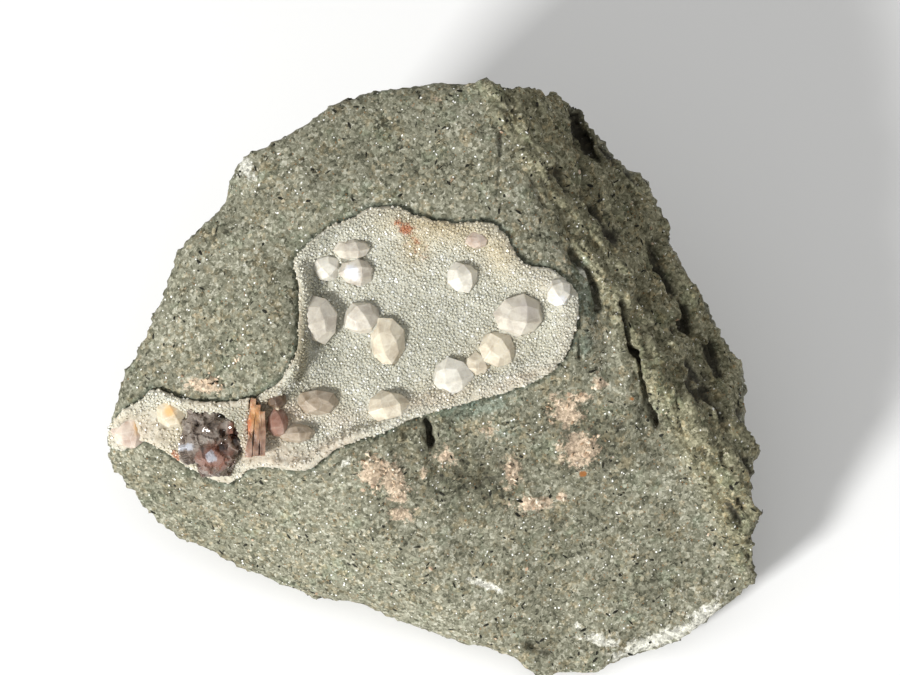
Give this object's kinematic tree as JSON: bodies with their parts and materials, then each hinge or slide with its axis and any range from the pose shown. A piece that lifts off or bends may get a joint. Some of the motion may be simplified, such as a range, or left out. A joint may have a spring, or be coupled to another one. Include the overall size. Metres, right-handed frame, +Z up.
{
  "type": "analcime specimen",
  "caption": "Hand specimen: analcime crystals on a sugary white crust in a hollow of grey-green basalt, with a glassy red-brown crystal and orange blades.",
  "frame": {"origin": "the middle of the specimen's bounding box, on the ground that it rests on", "axes": "+Z up, the crystal face leans back from level and looks up and towards -Y, +X to the right of someone who looks at that face"},
  "size_m": [0.1122, 0.0903, 0.0569],
  "materials": {
    "basalt": "rough broken grey-green basalt with black needles and pale specks",
    "analcime": "white to cream crystals, satin to glassy",
    "glassy_analcime": "clear red-brown crystal, glassy, with a few fractures",
    "stilbite": "orange-brown, pearly"
  },
  "bodies": {
    "root": {"basalt": "basalt", "analcime_crust": "analcime", "glassy_analcime_crystal": "glassy_analcime", "stilbite_blades": "stilbite"}
  },
  "joints": []
}
